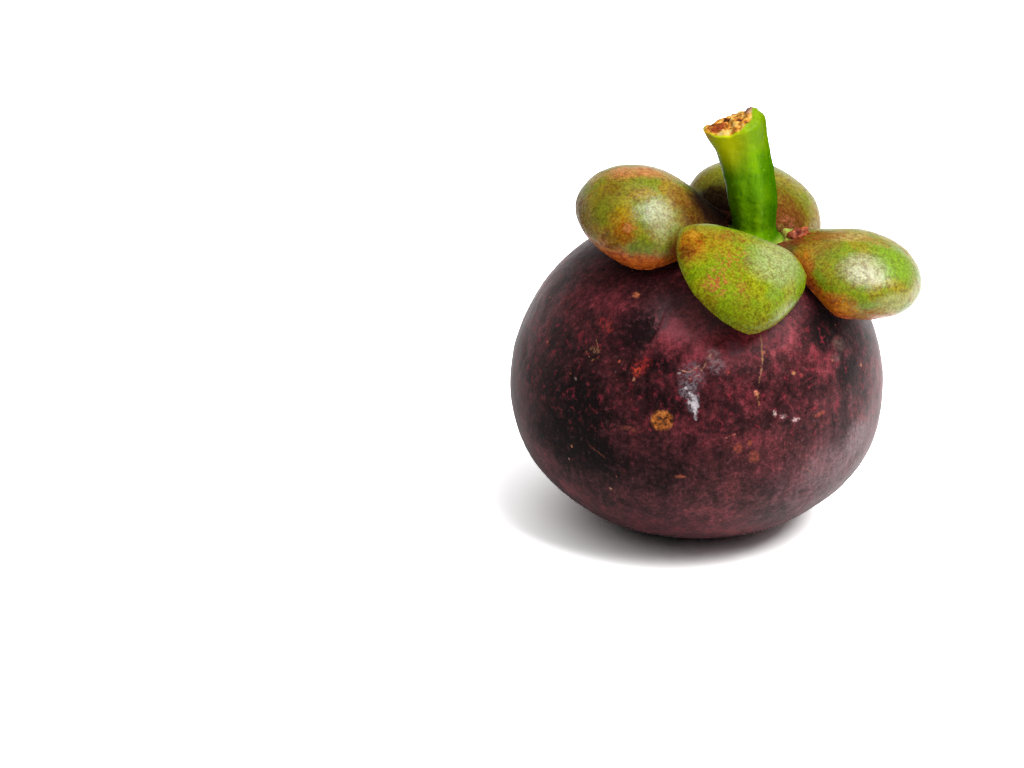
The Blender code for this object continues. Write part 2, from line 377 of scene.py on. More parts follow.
# Marks that the fruit picked up as it grew, with some painted light among them, as marked: bearing, height,
# half width, half height, colour, how strong it is, and how broken up.
RIND_MARKS = (
    # Painted sheen: a broad pale patch where the top middle of the skin shines.
    (-8.0, 42.8, 9.0, 4.2, (0.170, 0.100, 0.115), 0.18, 0.3),
    (7.8, 30.6, 1.7, 1.3, (0.010, 0.003, 0.004), 0.8, 0.4),
    (53.5, 31.0, 3.2, 2.4, (0.010, 0.003, 0.004), 0.75, 0.5),
    (36.0, 30.6, 4.0, 1.6, (0.011, 0.003, 0.004), 0.7, 0.7),
    (-4.8, 31.8, 1.3, 2.4, (0.20, 0.175, 0.195), 0.75, 0.9),
    (-4.6, 31.2, 0.6, 1.2, (0.36, 0.33, 0.35), 0.85, 0.8),
    (-5.4, 35.2, 2.6, 3.2, (0.10, 0.080, 0.094), 0.65, 0.9),
    (-6.6, 33.2, 1.8, 1.6, (0.13, 0.105, 0.120), 0.65, 0.9),
    (-7.0, 33.5, 0.35, 0.3, (0.36, 0.30, 0.31), 0.8, 0.5),
    (-9.5, 35.5, 0.35, 0.25, (0.34, 0.26, 0.26), 0.8, 0.5),
    (2.6, 36.6, 2.0, 1.5, (0.13, 0.10, 0.112), 0.6, 0.95),
    (1.6, 38.0, 1.6, 1.8, (0.20, 0.12, 0.13), 0.6, 0.8),
    (9.0, 38.8, 1.6, 1.8, (0.05, 0.03, 0.04), 0.6, 0.5),
    (-32.7, 44.6, 0.80, 0.60, (0.42, 0.12, 0.05), 0.9, 0.70),
    (-23.1, 35.6, 1.5, 1.9, (0.19, 0.016, 0.014), 0.85, 0.95),
    (-23.3, 35.2, 0.8, 1.1, (0.32, 0.036, 0.016), 0.9, 0.8),
    (-20.9, 36.5, 1.3, 1.1, (0.17, 0.012, 0.012), 0.85, 0.9),
    (-24.0, 34.0, 0.3, 0.4, (0.30, 0.12, 0.07), 0.8, 0.2),
    (-40.5, 40.6, 1.8, 1.1, (0.15, 0.014, 0.014), 0.8, 0.95),
    (-38.0, 40.0, 1.4, 1.0, (0.16, 0.018, 0.014), 0.8, 0.95),
    (-40.0, 36.8, 1.4, 0.6, (0.22, 0.10, 0.05), 0.7, 0.9),
    (14.9, 32.5, 0.60, 0.55, (0.46, 0.15, 0.09), 0.9, 0.6),
    (19.0, 38.0, 0.5, 0.4, (0.34, 0.10, 0.05), 0.8, 0.3),
    (22.5, 37.8, 0.7, 0.8, (0.24, 0.04, 0.05), 0.8, 0.4),
    (28.5, 34.6, 0.5, 0.4, (0.32, 0.13, 0.06), 0.8, 0.3),
    (31.0, 34.0, 0.4, 0.6, (0.20, 0.03, 0.03), 0.8, 0.4),
    (45.0, 34.8, 0.35, 0.3, (0.36, 0.06, 0.03), 0.8, 0.0),
    (20.3, 29.2, 0.40, 0.85, (0.45, 0.33, 0.30), 0.9, 0.75),
    (23.1, 28.6, 0.8, 0.45, (0.42, 0.28, 0.28), 0.9, 0.85),
    (27.1, 27.6, 1.1, 0.45, (0.34, 0.22, 0.22), 0.9, 0.9),
    (8.7, 24.3, 0.9, 1.1, (0.20, 0.038, 0.018), 0.75, 0.7),
    (13.6, 22.6, 1.1, 1.4, (0.22, 0.048, 0.022), 0.75, 0.7),
    (12.2, 24.9, 0.6, 0.6, (0.20, 0.044, 0.020), 0.7, 0.6),
    (35.5, 27.5, 1.0, 0.5, (0.24, 0.05, 0.03), 0.7, 0.6),
    (37.4, 27.7, 0.35, 0.4, (0.26, 0.06, 0.03), 0.6, 0.4),
    (51.0, 36.5, 2.0, 1.6, (0.110, 0.066, 0.056), 0.7, 0.7),
    (47.0, 34.9, 1.6, 0.8, (0.100, 0.062, 0.055), 0.6, 0.7),
    (59.5, 32.0, 0.4, 0.4, (0.40, 0.14, 0.08), 0.7, 0.0),
    # Two grey patches low on the right: partly waxy bloom, partly a painted reflection of the white table.
    (53.0, 21.0, 4.5, 4.0, (0.20, 0.15, 0.16), 0.45, 0.6),
    (40.0, 18.0, 7.0, 5.0, (0.17, 0.11, 0.12), 0.35, 0.6),
    (-44.5, 32.0, 0.30, 0.35, (0.28, 0.20, 0.19), 0.6, 0.6),
    (-24.0, 26.5, 2.5, 0.5, (0.16, 0.040, 0.02), 0.5, 0.85),
    (-8.0, 19.5, 1.2, 0.4, (0.30, 0.07, 0.03), 0.7, 0.6),
    (96.0, 33.0, 1.2, 0.8, (0.30, 0.09, 0.04), 0.9, 0.3),
    (138.0, 26.0, 1.5, 1.3, (0.21, 0.07, 0.025), 0.9, 0.3),
    (171.0, 37.0, 0.9, 1.6, (0.24, 0.20, 0.20), 0.8, 0.6),
    (-152.0, 30.0, 1.0, 0.6, (0.28, 0.05, 0.02), 0.9, 0.4),
    (-118.0, 38.0, 1.6, 1.1, (0.17, 0.10, 0.07), 0.8, 0.5),
    (-93.0, 25.0, 0.7, 1.2, (0.45, 0.40, 0.40), 0.8, 0.5),
)
# Scratches, one run of dried latex, and painted light along the crease: bearing and height at each end,
# half width, colour, strength.
RIND_LINES = (
    # Painted sheen: pale grey lines along the high side of the crease.
    (-16.2, 43.9, -16.6, 41.4, 0.80, (0.075, 0.046, 0.053), 0.6),
    (-17.0, 41.6, -20.0, 39.0, 0.40, (0.070, 0.044, 0.050), 0.4),
    # Painted shade: near-black lines down the crease itself.
    (-13.6, 45.0, -17.4, 43.4, 0.36, (0.007, 0.002, 0.003), 0.85),
    (-17.4, 43.4, -18.2, 41.6, 0.40, (0.007, 0.002, 0.003), 0.9),
    (-18.2, 41.6, -22.2, 37.8, 0.45, (0.006, 0.002, 0.003), 0.95),
    (-2.5, 27.2, 4.8, 26.8, 0.32, (0.010, 0.003, 0.004), 0.8),
    (4.8, 26.8, 12.9, 27.3, 0.26, (0.010, 0.003, 0.004), 0.7),
    (-5.8, 32.8, -3.9, 30.0, 0.42, (0.44, 0.41, 0.43), 0.85),
    (-4.8, 32.4, -3.4, 30.9, 0.40, (0.34, 0.31, 0.33), 0.7),
    (-6.2, 31.6, -4.6, 31.2, 0.34, (0.38, 0.35, 0.37), 0.7),
    (-4.2, 30.2, -3.9, 28.9, 0.30, (0.32, 0.28, 0.30), 0.6),
    (19.3, 40.3, 18.2, 36.8, 0.22, (0.30, 0.16, 0.06), 0.75),
    (18.2, 36.8, 15.6, 33.4, 0.20, (0.26, 0.12, 0.06), 0.65),
    (15.0, 32.4, 15.5, 30.9, 0.24, (0.36, 0.20, 0.05), 0.85),
    (-9.5, 36.0, -6.0, 35.7, 0.16, (0.42, 0.20, 0.13), 0.8),
    (-6.0, 35.7, -2.2, 37.0, 0.16, (0.34, 0.14, 0.09), 0.7),
    (-2.6, 36.0, 1.0, 38.4, 0.20, (0.32, 0.17, 0.10), 0.7),
    (-6.5, 34.8, -3.0, 35.4, 0.12, (0.30, 0.14, 0.11), 0.6),
    (-43.5, 36.3, -40.5, 35.3, 0.16, (0.30, 0.13, 0.05), 0.8),
    (-40.5, 35.3, -38.0, 35.8, 0.14, (0.30, 0.13, 0.05), 0.7),
    (-41.2, 38.2, -38.8, 37.0, 0.14, (0.26, 0.12, 0.05), 0.7),
    (-37.0, 22.5, -31.0, 20.9, 0.18, (0.16, 0.045, 0.02), 0.5),
    (5.0, 26.0, 8.0, 26.6, 0.14, (0.34, 0.10, 0.07), 0.7),
    (-9.0, 19.3, -4.0, 20.0, 0.14, (0.30, 0.08, 0.03), 0.7),
    (30.0, 19.5, 36.0, 17.0, 0.14, (0.24, 0.08, 0.06), 0.6),
    (84.0, 37.0, 90.0, 33.0, 0.16, (0.30, 0.15, 0.08), 0.7),
    (150.0, 36.0, 160.0, 34.0, 0.16, (0.30, 0.15, 0.08), 0.7),
    (-130.0, 24.0, -122.0, 21.0, 0.16, (0.28, 0.10, 0.05), 0.7),
)

# The skin goes from almost black through purple-brown to crimson. It is most mottled in a band round the
# middle, and plainer above and below it.
skin_finish, tree, shader, place = start_finish("rind_skin")
uneven = ragged(tree, ragged(tree, place, 4.0, 2.6), 0.7, 0.55)
shaky = ragged(tree, ragged(tree, place, 1.1, 0.5), 0.4, 0.5)
blotch = noise_of(tree, place, 8.0, 5.0, 0.62)
mottle = noise_of(tree, uneven, 2.2, 5.0, 0.68)
fleck = noise_of(tree, place, 0.75, 3.0, 0.7)
grain = noise_of(tree, place, 0.32, 2.0, 0.6)
crumbs = range_of(tree, noise_of(tree, place, 0.55, 3.0, 0.7), 0.44, 0.58)
streaks = noise_of(tree, stretch_of(tree, shaky, (1.0, 1.0, 0.13)), 1.1, 4.0, 0.65)
height_up = add_node(tree, "SeparateXYZ", {0: uneven}).outputs[2]
wild = range_of(tree, height_up, 20.0, 31.0)
wild = product_of(tree, wild, range_of(tree, height_up, 44.0, 36.0))

bite = product_of(tree, mottle, range_of(tree, wild, 0.0, 1.0, 0.30, 0.50))
steady = range_of(tree, wild, 0.0, 1.0, 0.08, -0.02)
tone = sum_of(tree, (blotch, 0.46), (bite, 1.0), (steady, 1.0), (fleck, 0.34), (grain, 0.12))
tone = sum_of(tree, (streaks, 0.24), (tone, 1.0))
for bearing, height, across, tall, shift in RIND_TONES:
    here = spot_of(tree, uneven, on_skin(bearing, height), (across, across, tall), 0.9)
    tone = sum_of(tree, (here, shift), (tone, 1.0))
colour = ramp_of(
    tree,
    product_of(tree, tone, 0.8),
    (0.48, (0.0050, 0.0018, 0.0022)),
    (0.584, (0.021, 0.0042, 0.0054)),
    (0.664, (0.051, 0.0070, 0.0098)),
    (0.728, (0.104, 0.0122, 0.0180)),
    (0.80, (0.160, 0.0195, 0.0290)),
    (0.92, (0.205, 0.0310, 0.0440)),
)
brown = range_of(tree, noise_of(tree, place, 13.0, 2.0, 0.5), 0.42, 0.62, 0.0, 0.55)
colour = mix_of(tree, brown, colour, (0.82, 1.12, 0.92), "MULTIPLY")
# Painted reflection: towards the bottom the skin is greyed, standing in for a reflection of the white table.
colour = mix_of(tree, range_of(tree, height_up, 27.0, 14.0), colour, (1.05, 1.34, 1.26), "MULTIPLY")
crimson = range_of(tree, noise_of(tree, uneven, 1.25, 4.0, 0.72), 0.53, 0.69)
crimson = product_of(tree, crimson, range_of(tree, wild, 0.0, 1.0, 0.18, 0.72))
colour = mix_of(tree, crimson, colour, (0.135, 0.012, 0.020))
colour = mix_of(tree, range_of(tree, grain, 0.38, 0.62), colour, (1.30, 1.34, 1.34), "MULTIPLY")

# Pale waxy bloom, thickest low on the right, where it is also a painted reflection of the white table.
bloom_and_reflection = spot_of(tree, uneven, on_skin(44, 14), (18, 16, 13), 0.9)
dust_and_reflection = range_of(tree, sum_of(tree, (fleck, 0.5), (streaks, 0.5)), 0.44, 0.62, 0.08, 0.38)
thin_dust = range_of(tree, fleck, 0.56, 0.72, 0.0, 0.07)
dust_and_reflection = sum_of(tree, (product_of(tree, dust_and_reflection, bloom_and_reflection), 1.0), (thin_dust, 1.0))
colour = mix_of(tree, dust_and_reflection, colour, (0.190, 0.135, 0.142))

for bearing, height, across, tall, paint, strength, broken in RIND_MARKS:
    here = spot_of(tree, shaky, on_skin(bearing, height), (across, across, tall), 0.55)
    here = product_of(tree, here, range_of(tree, crumbs, 0.0, 1.0, strength * (1 - broken), strength))
    colour = mix_of(tree, here, colour, paint)
for from_bearing, from_height, to_bearing, to_height, half, paint, strength in RIND_LINES:
    start = on_skin(from_bearing, from_height)
    end = on_skin(to_bearing, to_height)
    here = line_of(tree, shaky, start, end, half)
    here = product_of(tree, here, range_of(tree, fleck, 0.38, 0.56, 0.1, strength))
    colour = mix_of(tree, here, colour, paint)

# Painted shade: the low side of the crease is painted almost black, right up to the step.
low_side = range_of(tree, sum_of(tree, (mottle, 0.5), (fleck, 0.5)), 0.64, 0.47, 0.15, 0.97)
for upper, lower in zip(CREASE[1:-1], CREASE[2:]):
    rightward = np.cross(lower - level, upper - lower)
    rightward /= -np.linalg.norm(rightward)
    off = distance_along(tree, offset_of(tree, shaky, lower), rightward)
    low_side = product_of(tree, low_side, range_of(tree, off, 0.15, -0.20))
for middle, halves in ((on_skin(-25.0, 40.4), (6.4, 6.4, 5.6)), (on_skin(-22.6, 39.4), (4.2, 4.2, 3.6))):
    here = spot_of(tree, uneven, middle, halves, 0.75)
    colour = mix_of(tree, product_of(tree, here, low_side), colour, (0.0080, 0.0025, 0.0032))

# Dark spots between the crimson, thickest in the band round the middle and on the right.
spotted, _ = dots_of(tree, uneven, 2.0, 0.50, 0.10, 0.45, 0.60)
spotted = product_of(tree, spotted, range_of(tree, wild, 0.2, 1.0, 0.0, 0.55))
colour = mix_of(tree, spotted, colour, (0.018, 0.0052, 0.0065))

# The round scar is corky: dark at its edge and in its pits, orange between them.
scar_halves = (SCAR_RADIUS + 0.15, SCAR_RADIUS + 0.15, SCAR_RADIUS)
scar = spot_of(tree, shaky, on_skin(SCAR_BEARING, SCAR_HEIGHT), scar_halves, 0.30)
scar_core = spot_of(tree, shaky, on_skin(SCAR_BEARING + 0.8, SCAR_HEIGHT - 0.2), (1.7, 1.7, 1.5), 0.8)
cork = sum_of(tree, (noise_of(tree, shaky, 0.75, 4.0, 0.8), 1.0), (scar_core, -0.05))
cork = ramp_of(
    tree,
    cork,
    (0.38, (0.016, 0.007, 0.003)),
    (0.45, (0.11, 0.032, 0.005)),
    (0.52, (0.25, 0.064, 0.010)),
    (0.62, (0.37, 0.130, 0.022)),
)
colour = mix_of(tree, product_of(tree, scar, 0.95), colour, cork)

# Loose specks all over, where the skin was rubbed or an insect sat: small dots, one to a cell.
speck, which = dots_of(tree, shaky, 3.4, 0.085, 0.045, 0.60, 0.66, 0.75)
speck_paint = ramp_of(
    tree, which, (0.0, (0.24, 0.03, 0.02)), (0.5, (0.30, 0.11, 0.05)), (1.0, (0.36, 0.26, 0.24))
)
colour = mix_of(tree, speck, colour, speck_paint)

# A satin skin: the crimson parts shine more than the dark ones, and a thin wax greys it at a slant.
roughness = sum_of(tree, (fleck, 0.22), (mottle, 0.20), (scar, 0.25), (0.20, 1.0))
relief = sum_of(tree, (grain, 0.5), (fleck, 0.6), (mottle, 0.5))
tree.links.new(range_of(tree, tone, 0.62, 0.95, 0.05, 0.13), shader.inputs["Specular IOR Level"])
shader.inputs["Sheen Weight"].default_value = 0.05
shader.inputs["Sheen Roughness"].default_value = 0.45
shader.inputs["Sheen Tint"].default_value = (1.0, 0.93, 0.95, 1.0)
put_finish(fruit, skin_finish, shader, colour, roughness, relief, 0.5, 0.00016)
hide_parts("fruit_body")
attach(fruit, "root")


# ---------------------------------------------------------------------------------------------------------
# The stalk, with the receptacle that it spreads into at its foot. It is green wood, thickest at the joint
# where it was cut from the twig; the cut has dried to brown cork. It grew out of the middle of the calyx.
# ---------------------------------------------------------------------------------------------------------

STALK_END = CALYX_MIDDLE + np.array((-3.6, 0.5, 20.9))
STALK_LEAN = radians(-24)
STALK_FOOT_PULL = 4.0
STALK_END_PULL = 7.0
# How thick it is: the share of the way up, and the radius there.
STALK_PROFILE = (
    (0.0, 6.0), (0.04, 6.3), (0.075, 5.9), (0.105, 4.9), (0.15, 3.9), (0.21, 3.4),
    (0.28, 3.5), (0.42, 3.85), (0.68, 4.0), (0.80, 4.2), (0.90, 4.75), (1.0, 4.95),
)
FOOT_SPREAD = 2.0
STALK_STATIONS = 190
STALK_ROUND = 144
CUT_RINGS = 44
CUT_ROOF = 1.4  # how much lower the cut is at its front and back than along its middle
SHOULDER = 1.5  # how far the green shoulder beyond the cut rounds over

way = np.linspace(0, 1, STALK_STATIONS)[:, None]
start = CALYX_MIDDLE + 0.1 * CALYX_AXIS
end_axis = np.array((sin(STALK_LEAN), 0, cos(STALK_LEAN)))
foot_pull = start + STALK_FOOT_PULL * CALYX_AXIS
end_pull = STALK_END - STALK_END_PULL * end_axis
line = (1 - way) ** 3 * start + 3 * (1 - way) ** 2 * way * foot_pull
line = line + 3 * (1 - way) * way**2 * end_pull + way**3 * STALK_END
along = np.gradient(line, axis=0)
along /= np.linalg.norm(along, axis=1, keepdims=True)
right = np.cross(np.array((0, 1.0, 0)), along)
right /= np.linalg.norm(right, axis=1, keepdims=True)
back = np.cross(along, right)
thick = np.interp(way[:, 0], *zip(*STALK_PROFILE))
thick = np.convolve(np.pad(thick, 4, mode="edge"), np.ones(9) / 9, mode="valid")
turn = np.linspace(0, 2 * pi, STALK_ROUND, endpoint=False)[None, :, None]
spoke = right[:, None] * np.cos(turn) + back[:, None] * np.sin(turn)
ribs = 0.07 * np.sin(5 * turn + 1.5 * np.sin(3 * way[:, :, None])) + 0.05 * np.sin(9 * turn + 2.0)
stalk = line[:, None] + spoke * (thick[:, None, None] + ribs * smooth_step(way[:, :, None] / 0.2))

# The foot spreads towards the right sepal.
spread = FOOT_SPREAD * np.exp(-(((way - 0.05) / 0.035) ** 2))[:, :, None]
stalk = stalk + spoke * spread * np.clip(np.cos(turn + 0.35), 0, 1) ** 1.5
stalk = stalk + spoke * (0.10 * rough(stalk, 3.2, 3) + 0.05 * rough(stalk, 1.0, 2, 4.0))[..., None]

# Towards the cut the side leans in on the right, as a rounded shoulder, and the rim is torn.
near_cut = smooth_step((way - 0.86) / 0.14)[:, :, None]
rightness = np.clip(np.cos(turn), 0, 1)
stalk = stalk - spoke * SHOULDER * 0.55 * rightness * near_cut**4
tear = 0.35 * rough(stalk[-1] * (1, 1, 0), 1.6, 3, 5.0)
rise = -CUT_ROOF * np.sin(turn) ** 2 - 0.2 * SHOULDER * rightness + tear[None, :, None]
stalk = stalk + end_axis * rise * near_cut**2
inward = np.linspace(0, 1, CUT_RINGS + 1)[1:-1, None, None]
middle = stalk[-1].mean(axis=0)
cut = stalk[-1] + (middle - stalk[-1]) * inward
crown = 0.25 * SHOULDER * rightness * np.sin(pi * np.clip(inward / 0.5, 0, 1)) + 0.25 * np.sin(pi * inward)
crown = crown + 0.5 * CUT_ROOF * inward * np.sin(turn) ** 2
pits = 0.45 * rough(cut, 1.4, 4, 2.0) * smooth_step(inward[..., 0] / 0.2)
cut = cut + end_axis * (crown + pits[..., None])
stalk = np.concatenate([stalk, cut])
stem = grid_object("stalk", stalk)


def point_value(thing, name, values, first, last):
    """Gives each point of a grid object, and the middle of each end, a value for its finish to read."""
    made = thing.data.attributes.new(name, "FLOAT", "POINT")
    made.data.foreach_set("value", np.concatenate([values.ravel(), (first, last)]).astype(np.float32))


up_stalk = np.concatenate([way, 0 * inward[:, :, 0] + 1.0]) + 0 * turn[..., 0]
bare = smooth_step((inward - 0.04 - 0.07 * np.cos(turn).clip(0, 1) ** 2) / 0.08)[..., 0]
bare = np.concatenate([0 * way + 0 * turn[..., 0], bare])
point_value(stem, "up_stalk", up_stalk, 0.0, 1.0)
point_value(stem, "bare_wood", bare, 0.0, 1.0)

stalk_finish, tree, shader, place = start_finish("stalk_skin")
shaky = ragged(tree, place, 1.6, 0.9)
up_stalk = add_node(tree, "Attribute", attribute_name="up_stalk").outputs["Fac"]
bare = add_node(tree, "Attribute", attribute_name="bare_wood").outputs["Fac"]
fibre = noise_of(tree, stretch_of(tree, shaky, (1.0, 1.0, 0.12)), 0.9, 4.0, 0.65)
cloudy = noise_of(tree, place, 3.5, 4.0, 0.6)
grain = noise_of(tree, place, 0.4, 3.0, 0.65)
tone = sum_of(tree, (fibre, 0.45), (cloudy, 0.40), (grain, 0.15))
colour = ramp_of(
    tree,
    tone,
    (0.34, (0.048, 0.145, 0.0003)),
    (0.50, (0.104, 0.245, 0.0004)),
    (0.66, (0.175, 0.320, 0.0006)),
)

# Painted shade: the green is darkened down the right flank, and a little down the left one.
MIDWAY = 60  # the station of the stalk that its flanks are measured at
across = distance_along(tree, place, tuple(right[MIDWAY]))
middle_across = float(line[MIDWAY] @ right[MIDWAY])
right_flank_shade = range_of(tree, across, middle_across - 0.2, middle_across + 3.0)
colour = mix_of(tree, right_flank_shade, colour, (0.30, 0.40, 0.44), "MULTIPLY")
left_flank_shade = range_of(tree, across, middle_across - 0.8, middle_across - 3.4)
colour = mix_of(tree, left_flank_shade, colour, (0.62, 0.70, 0.70), "MULTIPLY")

# It yellows towards the cut, most at the front, and is paler at its foot.
yellowed = range_of(tree, sum_of(tree, (up_stalk, 1.0), (cloudy, 0.3)), 0.78, 1.15, 0.0, 0.45)
colour = mix_of(tree, yellowed, colour, (0.17, 0.22, 0.0015))
sunny = spot_of(tree, shaky, (3.2, -8.0, 66.0), (4.6, 5.5, 6.6), 0.9)
colour = mix_of(tree, sunny, colour, (0.34, 0.37, 0.001))
lip = spot_of(tree, shaky, (-0.6, -6.0, 67.6), (2.6, 4.4, 2.6), 0.7)
lip = product_of(tree, lip, range_of(tree, grain, 0.35, 0.6, 0.4, 0.9))
colour = mix_of(tree, lip, colour, (0.40, 0.19, 0.012))
foot = range_of(tree, sum_of(tree, (up_stalk, 1.0), (cloudy, 0.10)), 0.20, 0.13)
colour = mix_of(tree, foot, colour, (0.19, 0.26, 0.030))
pores = range_of(tree, noise_of(tree, shaky, 0.8, 2.0, 0.5), 0.66, 0.74, 0.0, 0.55)
colour = mix_of(tree, pores, colour, (0.20, 0.30, 0.03))
nick = noise_of(tree, stretch_of(tree, place, (1.0, 1.0, 0.35)), 1.5, 3.0, 0.7)
colour = mix_of(tree, range_of(tree, nick, 0.68, 0.74, 0.0, 0.5), colour, (0.15, 0.09, 0.012))

# The dried cut: tan cork, browner in its pits, with orange where the sap dried and dark specks.
cork = noise_of(tree, shaky, 1.3, 5.0, 0.7)
cork = ramp_of(
    tree,
    cork,
    (0.34, (0.040, 0.012, 0.005)),
    (0.44, (0.26, 0.075, 0.008)),
    (0.52, (0.46, 0.22, 0.028)),
    (0.62, (0.44, 0.32, 0.10)),
    (0.75, (0.30, 0.24, 0.11)),
)
burnt = spot_of(tree, shaky, (1.9, -5.6, 68.3), (1.5, 2.0, 1.1), 0.4)
cork = mix_of(tree, product_of(tree, burnt, 0.9), cork, (0.16, 0.022, 0.005))
purple = spot_of(tree, shaky, (6.6, -3.5, 71.0), (2.0, 3.0, 1.4), 0.6)
cork = mix_of(tree, product_of(tree, purple, 0.7), cork, (0.20, 0.12, 0.11))
dark_specks = range_of(tree, noise_of(tree, place, 0.6, 3.0, 0.7), 0.60, 0.68, 0.0, 0.85)
cork = mix_of(tree, dark_specks, cork, (0.06, 0.025, 0.012))
colour = mix_of(tree, bare, colour, cork)
roughness = sum_of(tree, (grain, 0.25), (bare, 0.35), (0.20, 1.0))
relief = sum_of(tree, (grain, 0.5), (fibre, 0.9), (cloudy, 0.3))
tree.links.new(range_of(tree, right_flank_shade, 0.2, 0.9, 0.05, 0.0), shader.inputs["Specular IOR Level"])
put_finish(stem, stalk_finish, shader, colour, roughness, relief, 0.5, 0.00018)
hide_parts("stem")
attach(stem, "root")


# ---------------------------------------------------------------------------------------------------------
# The calyx: four thick leathery sepals that stay on the fruit, each swollen to a hollow dome and drawn in
# to a root at the receptacle. They ripen from green to yellow, red and brown, most at the rims and roots.
# ---------------------------------------------------------------------------------------------------------

# Each sepal's bearing round the stalk, how far out and how high the middle of its dome is, how far the dome
# reaches up, outward, inward and to each side, how square its tip and its neck are (2 is round), how it is
# tipped, its clearance from the skin, and how wide its root spreads in degrees.
SEPALS = {
    "sepal_front": dict(
        bearing=267, middle=13.5, raised=2.1, up=4.5, outward=12.7, inward=5.2, left=8.1, right=13.6,
        tip_left=1.42, tip_right=1.95, neck=3.0, roll=-9.0, pitch=23.5, clearance=1.3, root=36,
    ),
    "sepal_right": dict(
        bearing=-14, middle=17.2, raised=0.7, up=7.1, outward=10.6, inward=11.7, left=10.4, right=11.3,
        tip_left=2.0, tip_right=2.0, neck=1.75, roll=-0.9, pitch=-9.0, clearance=1.6, root=37,
    ),
    "sepal_back": dict(
        bearing=83, middle=15.5, raised=-1.5, up=8.3, outward=10.1, inward=10.0, left=11.5, right=11.5,
        tip_left=2.0, tip_right=2.0, neck=2.1, roll=1.2, pitch=-0.4, clearance=0.6, root=48,
    ),
    "sepal_left": dict(
        bearing=183, middle=18.0, raised=0.0, up=8.4, outward=11.0, inward=10.3, left=11.6, right=10.4,
        tip_left=2.0, tip_right=2.0, neck=1.86, roll=0.0, pitch=-3.1, clearance=1.2, root=38,
    ),
}
SEPAL_THICKNESS = 1.7
TUCK = 0.75  # how much flatter the dome is below its widest level
ROOT_RADIUS = 5.3  # inside the receptacle, so that no joint shows
ROOT_GAP = 0.4
ROOT_THICKNESS = 1.6
ROOT_SPREAD = 80.0
ROOT_FULL = 0.55
ROOT_START = 0.25
RIPPLE = 0.16
FINE_RIPPLE = 0.035
ROOT_CREASE = 0.22
SEPAL_ROUND = 260
OUTER_RINGS = 84
RIM_RINGS = 7
INNER_RINGS = 30
RIM_LIFT = 0.45  # the rim is rounded, so it ends this much further from the skin

# Each sepal's own colours: its green, its riper green, and how red its rim is.
SEPAL_GREENS = {
    "sepal_front": ((0.118, 0.182, 0.0022), (0.175, 0.192, 0.0030), 0.25),
    "sepal_right": ((0.125, 0.180, 0.0025), (0.200, 0.170, 0.0040), 0.98),
    "sepal_back": ((0.130, 0.155, 0.0035), (0.180, 0.150, 0.0070), 0.16),
    "sepal_left": ((0.120, 0.145, 0.0026), (0.205, 0.140, 0.0040), 0.95),
}
# How strongly each sepal shines, and where scurf dulls it instead: the middle and half sizes of that place.
SEPAL_SHINE = {"sepal_front": 0.44, "sepal_right": 0.62, "sepal_back": 0.44, "sepal_left": 0.52}
SEPAL_DULL = {
    "sepal_front": ((2.6, -24.6, 50.6), (11.0, 10.0, 10.0)),
    "sepal_right": ((15.5, -7.0, 50.0), (4.6, 4.6, 4.0)),
    "sepal_back": ((8.0, 2.0, 51.5), (15.0, 9.0, 8.0)),
    "sepal_left": ((0.8, -7.0, 56.0), (8.6, 9.0, 8.0)),
}
